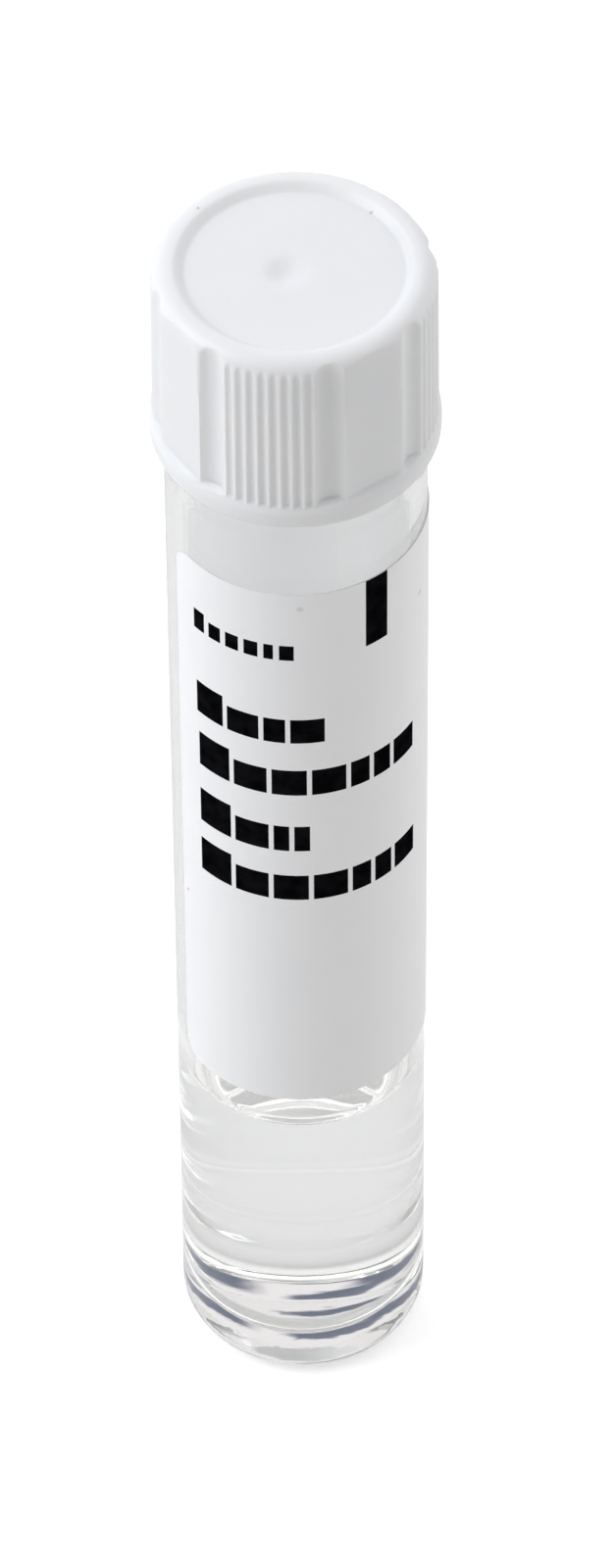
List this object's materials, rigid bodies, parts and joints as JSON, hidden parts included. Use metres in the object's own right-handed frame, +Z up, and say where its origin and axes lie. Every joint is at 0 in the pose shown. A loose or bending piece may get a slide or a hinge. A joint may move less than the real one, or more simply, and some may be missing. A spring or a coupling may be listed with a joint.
{
  "type": "round test cuvette",
  "caption": "Round flat-bottomed glass cuvette with a wrap-round label, clear liquid inside and a grooved white screw cap over a sealing disc.",
  "frame": {"origin": "centre of the underside, on the surface that the cuvette stands on", "axes": "+Z up along the tube to the cap, -Y to the front that carries the printed side of the label, +X to the right of that front"},
  "size_m": [0.0176, 0.0176, 0.0961],
  "materials": {
    "glass": "clear, fire polished",
    "cap": "satin moulded polypropylene",
    "seal": "smooth",
    "label": "smooth coated film, with black print",
    "liquid": "clear"
  },
  "bodies": {
    "glass": {"glass_tube": "glass", "label": "label", "liquid": "liquid"},
    "seal": {"sealing_disc": "seal"},
    "cap": {"screw_cap": "cap"}
  },
  "joints": [
    {"name": "cap_lift", "type": "slide", "parent": "glass", "child": "seal", "axis": [0, 0, 1], "range_m": [0, 0.00469]},
    {"name": "cap_turn", "type": "hinge", "parent": "seal", "child": "cap", "pos_m": [0, 0, 0.0936], "axis": [0, 0, 1], "range_deg": [0, 675]}
  ],
  "couplings": [
    {"joint": "cap_lift", "follows": "cap_turn", "m_per_rad": 0.00039789}
  ]
}
